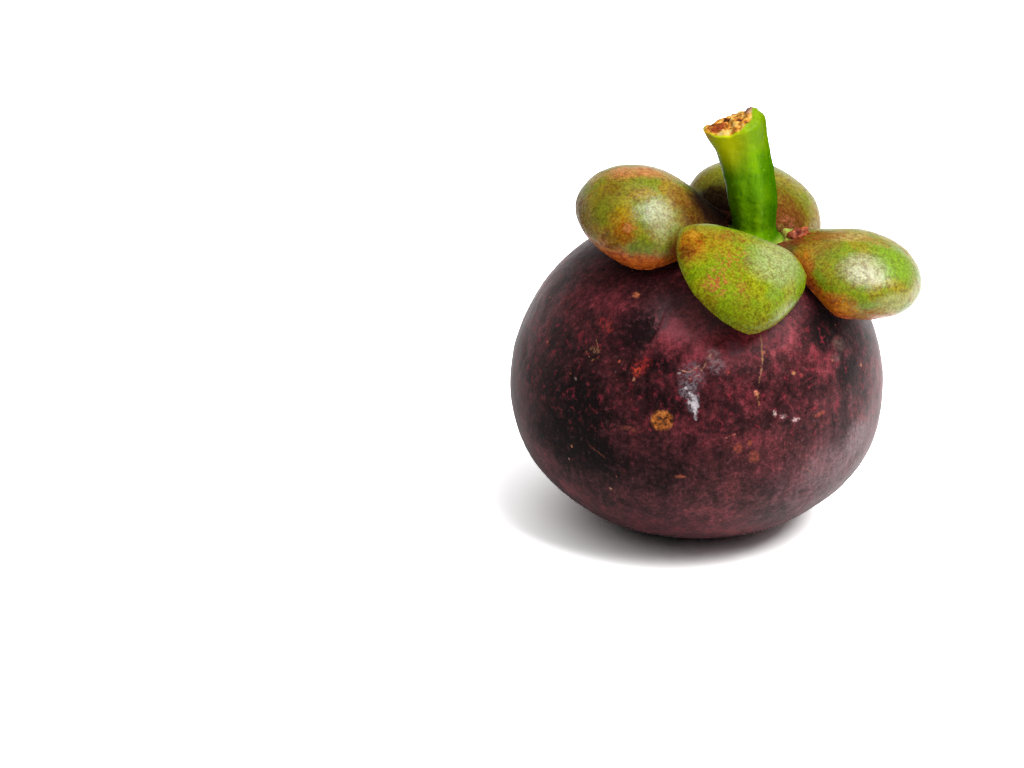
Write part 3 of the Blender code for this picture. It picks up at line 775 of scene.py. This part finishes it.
# Patches of pale, ripe, burnt or scarred skin, and of painted light as marked: the middle and half sizes,
# the colour, how strong it is, and how broken up. The foot of the stalk spreads a pale green lump over two
# of the roots.
FOOT_LUMP = ((13.0, -4.2, 49.7), (2.6, 4.0, 3.0), (0.225, 0.315, 0.0500), 0.95, 0.15)
SEPAL_PATCHES = {
    "sepal_front": (
        ((-1.2, -20.5, 54.3), (5.6, 5.0, 5.0), (0.215, 0.122, 0.0038), 0.90, 0.4),
        ((-2.4, -22.6, 52.8), (2.8, 2.6, 2.6), (0.240, 0.120, 0.0100), 0.85, 0.6),
        ((-2.9, -20.8, 54.2), (3.2, 3.4, 3.0), (0.235, 0.066, 0.0030), 0.96, 0.4),
        ((-3.4, -21.8, 52.9), (2.2, 2.6, 2.2), (0.090, 0.022, 0.0030), 0.92, 0.4),
        ((-2.3, -19.6, 55.0), (1.1, 1.6, 1.0), (0.330, 0.165, 0.0120), 0.90, 0.2),
        ((3.4, -19.6, 55.2), (5.0, 2.2, 1.4), (0.176, 0.055, 0.0120), 0.86, 0.6),
        ((3.6, -23.0, 52.4), (3.8, 4.0, 2.8), (0.264, 0.086, 0.0210), 0.75, 0.9),
        ((0.8, -26.0, 49.6), (2.6, 3.6, 3.6), (0.290, 0.074, 0.0270), 0.86, 0.9),
        ((4.4, -27.0, 48.4), (2.0, 3.4, 3.6), (0.264, 0.078, 0.0240), 0.63, 0.9),
        ((-0.6, -27.4, 46.4), (3.0, 3.4, 3.2), (0.114, 0.066, 0.0036), 0.86, 0.6),
        ((6.0, -28.4, 43.4), (6.0, 4.0, 2.6), (0.150, 0.100, 0.0060), 0.80, 0.6),
        ((5.0, -28.0, 45.6), (7.0, 4.0, 3.4), (0.100, 0.105, 0.0030), 0.75, 0.5),
        ((5.8, -23.0, 52.2), (1.2, 1.4, 0.9), (0.075, 0.039, 0.0060), 0.80, 0.7),
        # Painted highlight: a pale patch where the front sepal shines.
        ((10.2, -21.2, 51.5), (6.2, 6.0, 4.6), (0.240, 0.280, 0.1300), 0.66, 0.3),
    ),
    "sepal_right": (
        FOOT_LUMP,
        ((18.0, -10.4, 50.4), (4.6, 4.4, 3.2), (0.165, 0.088, 0.0090), 0.85, 0.4),
        # Painted reflection: a pale tan patch along the top edge, where the right sepal reflects white.
        ((23.0, -9.0, 51.6), (5.0, 2.6, 1.8), (0.330, 0.215, 0.0800), 0.75, 0.5),
        ((17.0, -7.2, 50.8), (4.6, 4.0, 3.0), (0.120, 0.026, 0.0050), 0.98, 0.4),
        ((20.0, -7.6, 51.4), (3.6, 2.6, 2.0), (0.190, 0.070, 0.0150), 0.80, 0.5),
        ((15.4, -12.8, 48.4), (2.2, 3.6, 3.6), (0.264, 0.086, 0.0048), 0.92, 0.4),
        ((19.0, -17.6, 43.4), (6.5, 4.4, 2.8), (0.370, 0.115, 0.0042), 0.98, 0.5),
        ((21.6, -18.0, 43.2), (2.6, 2.6, 1.4), (0.420, 0.200, 0.0200), 0.80, 0.7),
        ((25.0, -18.8, 41.9), (4.5, 3.4, 1.5), (0.238, 0.094, 0.0150), 0.92, 0.5),
        ((29.0, -13.2, 48.8), (5.0, 5.5, 4.4), (0.128, 0.234, 0.0036), 0.92, 0.2),
        ((29.2, -17.6, 43.4), (4.4, 4.0, 2.8), (0.290, 0.257, 0.0720), 0.69, 0.3),
        ((29.8, -15.6, 46.6), (0.5, 0.5, 0.5), (0.035, 0.023, 0.0048), 0.98, 0.0),
        # Painted highlight: a pale patch where the right sepal shines.
        ((24.2, -16.0, 48.8), (5.0, 3.8, 3.6), (0.270, 0.290, 0.1700), 0.70, 0.3),
        ((27.0, -9.6, 50.9), (4.0, 2.4, 1.4), (0.264, 0.133, 0.0420), 0.69, 0.6),
    ),
    "sepal_back": (
        FOOT_LUMP,
        # Painted shade over dark skin: near black in the hollow beside the stalk.
        ((2.0, 2.8, 51.4), (12.0, 9.4, 7.4), (0.009, 0.003, 0.0020), 0.99, 0.05),
        ((13.6, 3.2, 51.8), (6.4, 6.6, 6.0), (0.100, 0.042, 0.0060), 0.96, 0.35),
        ((14.0, 1.6, 50.6), (5.8, 5.2, 4.6), (0.105, 0.032, 0.0060), 0.98, 0.4),
        ((14.2, 0.6, 50.4), (3.4, 1.6, 1.8), (0.264, 0.086, 0.0450), 0.69, 0.9),
        ((18.6, 6.0, 48.6), (2.4, 4.5, 3.6), (0.194, 0.101, 0.0180), 0.69, 0.5),
        ((1.0, 9.4, 55.0), (4.5, 4.0, 3.0), (0.114, 0.094, 0.0042), 0.80, 0.4),
    ),
    "sepal_left": (
        ((-15.6, -13.0, 57.8), (4.2, 4.4, 4.0), (0.120, 0.116, 0.0016), 0.85, 0.3),
        ((-12.0, -10.0, 60.4), (4.4, 2.8, 1.9), (0.114, 0.136, 0.0022), 0.75, 0.4),
        ((-11.0, -7.0, 61.6), (7.5, 3.8, 1.8), (0.360, 0.135, 0.0450), 0.96, 0.4),
        ((-14.6, -10.6, 59.8), (2.0, 2.2, 1.5), (0.120, 0.066, 0.0050), 0.85, 0.5),
        ((-12.9, -14.6, 57.6), (1.8, 2.4, 3.0), (0.240, 0.190, 0.0030), 0.80, 0.3),
        # Painted highlight: a pale patch where the left sepal shines.
        ((-7.2, -15.4, 56.2), (3.6, 4.0, 5.2), (0.250, 0.265, 0.1300), 0.66, 0.4),
        ((-4.6, -15.2, 51.4), (3.0, 3.6, 3.8), (0.135, 0.030, 0.0040), 0.95, 0.3),
        ((-9.4, -17.0, 50.2), (3.8, 2.8, 1.8), (0.370, 0.086, 0.0080), 0.90, 0.4),
        ((-18.4, -11.8, 53.2), (2.6, 3.6, 4.2), (0.190, 0.085, 0.0300), 0.75, 0.6),
        ((-13.0, -16.0, 55.4), (3.2, 3.4, 4.6), (0.235, 0.125, 0.0030), 0.92, 0.3),
        ((-12.7, -16.2, 54.6), (2.2, 2.4, 2.8), (0.200, 0.054, 0.0030), 0.98, 0.5),
        ((-12.2, -16.4, 55.6), (0.9, 1.2, 0.8), (0.310, 0.110, 0.0360), 0.92, 0.3),
        ((-0.6, -10.4, 55.2), (6.6, 7.0, 7.0), (0.070, 0.020, 0.0040), 0.98, 0.2),
        # Painted shade over dark skin: near black in the hollow beside the stalk.
        ((2.0, -6.2, 55.0), (7.6, 8.0, 7.6), (0.007, 0.002, 0.0016), 0.99, 0.05),
        ((-4.4, -10.4, 58.4), (3.2, 3.4, 2.8), (0.132, 0.055, 0.0096), 0.86, 0.5),
        ((-20.0, -8.0, 54.5), (3.8, 6.0, 5.5), (0.150, 0.055, 0.0096), 0.86, 0.5),
        ((-14.8, -15.2, 53.0), (2.5, 3.0, 2.0), (0.132, 0.062, 0.0048), 0.75, 0.6),
    ),
}


def about_calyx(shape, points):
    """Carries points from a sepal's own upright frame, whose x runs outward, to its place on the fruit."""
    turn = CALYX_TURN @ np.array(Matrix.Rotation(radians(shape["bearing"]), 3, "Z"))
    return points @ turn.T + CALYX_MIDDLE


def dome(shape, angle, down, thickness):
    """Points of a sepal's dome, at angles round its plan and down from its crest."""
    along, across = np.cos(angle), np.sin(angle)
    tip = np.where(across > 0, shape["tip_left"], shape["tip_right"])
    square = np.where(along > 0, tip, shape["neck"])
    power = 2 + (square - 2) * np.sin(np.minimum(down, pi / 2)) ** 2
    length = np.where(along > 0, shape["outward"], shape["inward"])
    width = np.where(across > 0, shape["left"], shape["right"])
    reach = ((abs(along) / length) ** power + (abs(across) / width) ** power) ** (-1 / power) - thickness
    height = (shape["up"] - thickness) * np.where(down > pi / 2, TUCK, 1.0)
    flat = reach * np.sin(down)
    upright = np.stack([flat * along, flat * across, height * np.cos(down)], axis=-1)
    pitched = Matrix.Rotation(radians(shape["pitch"]), 3, "Y")
    tipped = pitched @ Matrix.Rotation(radians(shape["roll"]), 3, "X")
    return about_calyx(shape, upright @ np.array(tipped).T + (shape["middle"], 0, shape["raised"]))


def root_edge(shape, share, wanted):
    """Points of the root at the receptacle, from corner (-1) to corner (1), at a wanted clearance."""
    angle = share * radians(shape["root"])
    points = np.stack([ROOT_RADIUS * np.cos(angle), ROOT_RADIUS * np.sin(angle), 0 * angle], axis=-1)
    for _ in range(20):
        points[:, 2] += wanted - over_skin(about_calyx(shape, points))
    return about_calyx(shape, points)


def sepal_face(shape, thickness, rings, root_rise):
    """Rings of points from the crest of a sepal down to its rim, and how far each is drawn to the root."""
    angle = np.linspace(0, 2 * pi, SEPAL_ROUND, endpoint=False)
    high, low = np.zeros(SEPAL_ROUND), np.full(SEPAL_ROUND, radians(150))
    for _ in range(20):
        half = (high + low) / 2
        free = over_skin(dome(shape, angle, half, thickness)) > shape["clearance"] + RIM_LIFT
        high, low = np.where(free, half, high), np.where(free, low, half)
    way = np.linspace(0, 1, rings + 1)[:, None]
    points = dome(shape, angle + 0 * way, way * high, thickness)
    off = (pi - angle) / radians(ROOT_SPREAD)
    edge = root_edge(shape, np.clip(off / ROOT_FULL, -1, 1), ROOT_GAP + root_rise)
    drawn = np.clip((1 - abs(off)) / (1 - ROOT_FULL), 0, 1)
    share = drawn * smooth_step((way - ROOT_START) / (1 - ROOT_START))
    return points + (edge - points) * share[..., None], share


def rounded_rim(outer, inner):
    """Rings that carry the outer face round to the inner one in a half circle."""
    middle = (outer[-1] + inner[-1]) / 2
    half = (outer[-1] - inner[-1]) / 2
    onward = outer[-1] - outer[-3]
    onward -= half * (np.sum(onward * half, axis=1) / np.sum(half * half, axis=1))[:, None]
    onward *= (np.linalg.norm(half, axis=1) / np.linalg.norm(onward, axis=1))[:, None]
    round_way = np.linspace(0, pi, RIM_RINGS + 2)[1:-1, None, None]
    return middle + half * np.cos(round_way) + onward * np.sin(round_way) * 0.8


for name, shape in SEPALS.items():
    outer, outer_drawn = sepal_face(shape, 0.0, OUTER_RINGS, ROOT_THICKNESS)
    inner, inner_drawn = sepal_face(shape, SEPAL_THICKNESS, INNER_RINGS, 0.0)
    rim = rounded_rim(outer, inner)
    faces = np.concatenate([outer[1:], rim, inner[:0:-1]])
    rim_drawn = np.repeat(outer_drawn[-1:], RIM_RINGS, axis=0)
    drawn = np.concatenate([outer_drawn[1:], rim_drawn, inner_drawn[:0:-1]])
    outward = np.cross(np.roll(faces, -1, axis=1) - np.roll(faces, 1, axis=1), np.gradient(faces, axis=0))
    outward /= np.linalg.norm(outward, axis=-1, keepdims=True) + 1e-9
    if np.sum(outward[3] * CALYX_AXIS) < 0:
        outward = -outward

    # The dome ripples a little, less at its crest and towards its root. The drawn-in root is creased.
    seed = shape["bearing"]
    waver = RIPPLE * rough(faces, 6.0, 2, seed) + FINE_RIPPLE * rough(faces, 1.5, 2, seed)
    ring = np.arange(len(faces))[:, None]
    calm = smooth_step(ring / 8) * smooth_step(ring[::-1] / 8) * (1 - 0.7 * drawn)
    spokes = np.linspace(0, 2 * pi, SEPAL_ROUND, endpoint=False)
    around = 6 * np.stack([np.cos(spokes), np.sin(spokes), 0 * spokes], axis=-1)
    creases = ROOT_CREASE * rough(faces * 0 + around, 0.9, 2, seed) * smooth_step(drawn * 1.4 - 0.3)
    faces = faces + outward * (waver * calm + creases * (1 - smooth_step(drawn * 4 - 3)))[..., None]
    sepal = grid_object(name.replace("sepal_", "calyx_"), faces)
    out_to_rim = np.linspace(0, 1, OUTER_RINGS + 1)[1:]
    round_rim = np.linspace(0, 1, RIM_RINGS + 2)[1:-1]
    back_in = np.linspace(1, 0, INNER_RINGS)
    toward_rim = np.concatenate([out_to_rim, np.ones(RIM_RINGS), back_in])[:, None]
    inside = np.concatenate([np.zeros(OUTER_RINGS), round_rim, np.ones(INNER_RINGS)])[:, None]
    point_value(sepal, "toward_rim", toward_rim + 0 * drawn, 0.0, 0.0)
    point_value(sepal, "toward_root", drawn, 0.0, 0.0)
    point_value(sepal, "inside", inside + 0 * drawn, 0.0, 1.0)

    finish, tree, shader, place = start_finish(name + "_skin")
    uneven = ragged(tree, ragged(tree, place, 3.2, 2.4), 0.8, 0.7)
    toward_rim = add_node(tree, "Attribute", attribute_name="toward_rim").outputs["Fac"]
    toward_root = add_node(tree, "Attribute", attribute_name="toward_root").outputs["Fac"]
    inside = add_node(tree, "Attribute", attribute_name="inside").outputs["Fac"]
    cloudy = noise_of(tree, uneven, 4.5, 4.0, 0.6)
    netting = noise_of(tree, place, 0.9, 4.0, 0.7)
    grain = noise_of(tree, place, 0.36, 2.0, 0.6)
    crumbs = range_of(tree, noise_of(tree, place, 0.62, 3.0, 0.7), 0.46, 0.58)
    young, riper, redness = SEPAL_GREENS[name]
    colour = mix_of(tree, range_of(tree, cloudy, 0.40, 0.60), young, riper)

    # Orange and red at the rim, brown at the root, and red freckles.
    blush = sum_of(tree, (toward_rim, 1.0), (cloudy, 0.60), (netting, 0.30))
    blush = range_of(tree, blush, 1.06, 1.33, 0.0, redness)
    ripe = mix_of(tree, range_of(tree, netting, 0.40, 0.60), (0.44, 0.090, 0.010), (0.26, 0.040, 0.005))
    colour = mix_of(tree, blush, colour, ripe)
    root = range_of(tree, sum_of(tree, (toward_root, 1.0), (cloudy, 0.5)), 0.55, 0.90, 0.0, 0.88)
    colour = mix_of(tree, root, colour, (0.055, 0.020, 0.008))
    freckle, _ = dots_of(tree, uneven, 1.5, 0.16, 0.07, 0.62, 0.70, 0.55)
    colour = mix_of(tree, freckle, colour, (0.20, 0.055, 0.020))

    # The sepal's patches, painted light among them. They are as scurfy, and so as dull, as they are broken
    # up.
    scurf = sum_of(tree, (toward_root, 0.4), (spot_of(tree, uneven, *SEPAL_DULL[name], 0.8), 1.0))
    for middle, halves, paint, strength, broken in SEPAL_PATCHES[name]:
        here = spot_of(tree, uneven, middle, halves, 0.6)
        here = product_of(tree, here, range_of(tree, crumbs, 0.0, 1.0, strength * (1 - broken), strength))
        colour = mix_of(tree, here, colour, paint)
        scurf = sum_of(tree, (here, broken), (scurf, 1.0))

    # A net of fine brown and tiny pits over the whole, and a red underside.
    netted = range_of(tree, netting, 0.48, 0.62)
    netted = product_of(tree, netted, range_of(tree, cloudy, 0.36, 0.60, 0.26, 0.72))
    colour = mix_of(tree, netted, colour, (0.52, 0.35, 0.26), "MULTIPLY")
    pitted = mix_of(tree, range_of(tree, grain, 0.40, 0.60), (0.72, 0.66, 0.58), (1.06, 1.08, 1.06))
    colour = mix_of(tree, 1.0, colour, pitted, "MULTIPLY")
    colour = mix_of(tree, product_of(tree, inside, 0.85), colour, (0.30, 0.060, 0.035))

    shine = range_of(tree, scurf, 0.0, 0.6, SEPAL_SHINE[name], 0.02)
    shine = product_of(tree, shine, range_of(tree, netting, 0.40, 0.62, 1.0, 0.6))
    tree.links.new(shine, shader.inputs["Specular IOR Level"])
    roughness = sum_of(tree, (netting, 0.20), (cloudy, 0.12), (scurf, 0.35), (0.13, 1.0))
    relief = sum_of(tree, (grain, 0.45), (netting, 0.9), (cloudy, 0.4))
    put_finish(sepal, finish, shader, colour, roughness, relief, 0.5, 0.00015)
    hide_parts(name)
    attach(sepal, "root")


# ---------------------------------------------------------------------------------------------------------
# A dried scrap, left where a small leaf broke away between the back and right sepals. It is shrivelled
# bark, orange-red round a dark red hollow, and stays stuck to the foot of the stalk.
# ---------------------------------------------------------------------------------------------------------

SCRAP_MIDDLE = np.array((14.9, -5.6, 50.3))
SCRAP_HALVES = (1.9, 1.4, 1.4)
SCRAP_ROUND = 64
SCRAP_DOWN = 40
tilt = Matrix.Rotation(radians(-28), 3, "Y") @ Matrix.Rotation(radians(20), 3, "X")
down = np.linspace(0.05, pi - 0.05, SCRAP_DOWN)[:, None]
turn = np.linspace(0, 2 * pi, SCRAP_ROUND, endpoint=False)
ball = [np.sin(down) * np.cos(turn), np.sin(down) * np.sin(turn), np.cos(down) + 0 * turn]
ball = np.stack(ball, axis=-1)
lumps = 1 + 0.28 * rough(ball, 0.9, 3, 3.0) + 0.10 * np.sin(3 * turn)[None, :] * np.sin(down)
hollow = 0.45 * np.exp(-((np.linalg.norm(ball - (0.15, -0.45, 0.85), axis=-1) / 0.5) ** 2))
scrap = SCRAP_MIDDLE + (ball * (lumps - hollow)[..., None] * SCRAP_HALVES) @ np.array(tilt).T
stub = grid_object("leaf_scrap", scrap)
scrap_finish, tree, shader, place = start_finish("scrap_bark")
wrinkle = noise_of(tree, place, 0.7, 4.0, 0.7)
colour = ramp_of(
    tree,
    wrinkle,
    (0.34, (0.060, 0.006, 0.003)),
    (0.50, (0.21, 0.032, 0.006)),
    (0.66, (0.38, 0.100, 0.016)),
)
pit = spot_of(tree, place, SCRAP_MIDDLE + (0.2, -0.7, 0.8), (0.9, 1.0, 0.9), 0.7)
colour = mix_of(tree, product_of(tree, pit, 0.85), colour, (0.090, 0.006, 0.004))
roughness = range_of(tree, wrinkle, 0.3, 0.7, 0.75, 0.5)
shader.inputs["Specular IOR Level"].default_value = 0.3
put_finish(stub, scrap_finish, shader, colour, roughness, wrinkle, 0.7, 0.0002)
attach(stub, "root")


# ---------------------------------------------------------------------------------------------------------
# The stigma rosette: the dried stigma of the flower, a flat woody star with one blunt lobe for each segment
# of the fruit. It stays grown into the blossom end, level with the flat.
# ---------------------------------------------------------------------------------------------------------

rosette_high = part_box("stigma_rosette")[1]
ROSETTE_RADIUS = rosette_high.x / MM
ROSETTE_THICKNESS = rosette_high.z / MM
ROSETTE_LOBES = 7
ROSETTE_NOTCH = 0.3
ROSETTE_ROUND = 40 * ROSETTE_LOBES
ROSETTE_RINGS = 60

turn = np.linspace(0, 2 * pi, ROSETTE_ROUND, endpoint=False)
between = (1 - abs(np.cos(ROSETTE_LOBES * turn / 2))) ** 4
edge = ROSETTE_RADIUS * (1 - ROSETTE_NOTCH * between)
out = np.linspace(0.02, 1, ROSETTE_RINGS)[:, None]
edge_drop = 0.35 * smooth_step((out - 0.86) / 0.14) ** 2
groove = 0.42 * (1 - abs(np.cos(ROSETTE_LOBES * turn / 2))) ** 7 * smooth_step(out / 0.45)
eye = 0.35 * np.exp(-((out / 0.13) ** 2))
under = 0.06 + edge_drop + groove + eye
face = np.stack([out * edge * np.cos(turn), out * edge * np.sin(turn), under], axis=-1)
face[..., 2] += 0.05 + 0.07 * rough(face, 1.1, 4, 6.0)
side = np.stack([face[-1]] * 3)
side[:, :, 2] += np.array((0.25, 0.5, 0.6))[:, None] * (ROSETTE_THICKNESS - face[-1, :, 2])
side[:, :, :2] *= np.array((1.0, 0.995, 0.97))[:, None, None]
lid = np.stack([side[-1] * (share, share, 1) for share in (0.7, 0.3)])
lid[..., 2] = ROSETTE_THICKNESS - 0.05
rosette = grid_object("rosette", np.concatenate([face, side, lid])[::-1])

rosette_finish, tree, shader, place = start_finish("rosette_cork")
rays = noise_of(tree, place, 0.7, 5.0, 0.7)
wide = noise_of(tree, place, 2.6, 3.0, 0.6)
colour = ramp_of(
    tree,
    sum_of(tree, (rays, 0.6), (wide, 0.4)),
    (0.36, (0.020, 0.009, 0.006)),
    (0.50, (0.075, 0.036, 0.020)),
    (0.64, (0.17, 0.105, 0.065)),
)
sunk = range_of(tree, add_node(tree, "SeparateXYZ", {0: place}).outputs[2], 0.20, 0.50, 0.0, 0.8)
colour = mix_of(tree, sunk, colour, (0.022, 0.010, 0.008))
roughness = range_of(tree, rays, 0.3, 0.7, 0.85, 0.6)
shader.inputs["Specular IOR Level"].default_value = 0.25
put_finish(rosette, rosette_finish, shader, colour, roughness, rays, 0.7, 0.00025)
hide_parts("stigma_rosette")
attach(rosette, "root")


# ---------------------------------------------------------------------------------------------------------
# The table, the studio light and the camera. The table is a plain white sheet. One soft box hangs high over
# the right of the fruit, white card hangs overhead, and more of it stands low down behind.
# ---------------------------------------------------------------------------------------------------------

bpy.ops.mesh.primitive_plane_add(size=12)
table = bpy.context.object
table.name = "table"
table_finish, tree, shader, place = start_finish("table_white")
faint = noise_of(tree, place, 40.0, 2.0, 0.5)
white = ramp_of(tree, faint, (0.3, (0.90, 0.90, 0.90)), (0.7, (0.91, 0.91, 0.91)))

# The sheet is lit past white to the eye. Gloss sees it dark in front and on the left, white behind.
rays = add_node(tree, "LightPath").outputs
beyond = distance_along(tree, place, (0.75, 0.65, 0.0))
mirrored = mix_of(tree, range_of(tree, beyond, -90.0, 90.0), (0.10, 0.10, 0.10), (1.1, 1.1, 1.1))
white = mix_of(tree, rays["Is Glossy Ray"], white, mirrored)
white = mix_of(tree, rays["Is Camera Ray"], white, (1.7, 1.7, 1.7))
tree.links.new(white, shader.inputs["Base Color"])
shader.inputs["Roughness"].default_value = 0.6
shader.inputs["Specular IOR Level"].default_value = 0.0
table.data.materials.append(table_finish)

# The card overhead lights the fruit from above, a little less from the left, and the room below it is
# dark. A screen keeps it from showing in the skin: gloss sees the soft box, and the card low down behind.
sky = bpy.data.worlds.new("studio")
sky.use_nodes = True
tree = sky.node_tree
card = tree.nodes["Background"]
toward = add_node(tree, "SeparateXYZ", {0: add_node(tree, "TexCoord").outputs["Generated"]}).outputs
overhead = range_of(tree, toward[2], 0.30, 0.90, 0.0, 1.88)
screen = range_of(tree, toward[0], 0.6, -0.7, 0.86, 0.62)
room = product_of(tree, overhead, screen)
behind = range_of(tree, toward[1], -0.35, 0.45)
behind = product_of(tree, behind, range_of(tree, toward[0], -0.9, 0.6, 1.0, 1.25))
mirrored = product_of(tree, behind, range_of(tree, toward[2], 0.50, 0.08, 0.04, 1.0))
rays = add_node(tree, "LightPath").outputs
room = add_node(tree, "MapRange", {0: rays["Is Glossy Ray"], 3: room, 4: mirrored}).outputs[0]
room = add_node(tree, "MapRange", {0: rays["Is Camera Ray"], 3: room, 4: 1.0}).outputs[0]
tree.links.new(room, card.inputs["Strength"])
card.inputs["Color"].default_value = (1, 1, 1, 1)
bpy.context.scene.world = sky

# The soft box faces the middle of the fruit.
softbox = bpy.data.lights.new("softbox", "AREA")
softbox.shape = "RECTANGLE"
softbox.size = 0.44
softbox.size_y = 0.42
softbox.energy = 7.2
softbox_object = bpy.data.objects.new("softbox", softbox)
softbox_object.location = (0.245, -0.165, 0.545)
from_fruit = Vector((0.245, -0.165, 0.515))
softbox_object.rotation_euler = from_fruit.to_track_quat("Z", "Y").to_euler()
bpy.context.scene.collection.objects.link(softbox_object)

# The camera looks down at the fruit from in front, 22 degrees below level, with a long lens.
camera = bpy.data.cameras.new("camera")
camera.lens = 100
camera.sensor_width = 36
camera_object = bpy.data.objects.new("camera", camera)
camera_object.location = (-0.03018, -0.43202, 0.19734)
camera_object.rotation_euler = (radians(68), 0, 0)
bpy.context.scene.collection.objects.link(camera_object)
bpy.context.scene.camera = camera_object
bpy.context.scene.view_settings.view_transform = "Standard"
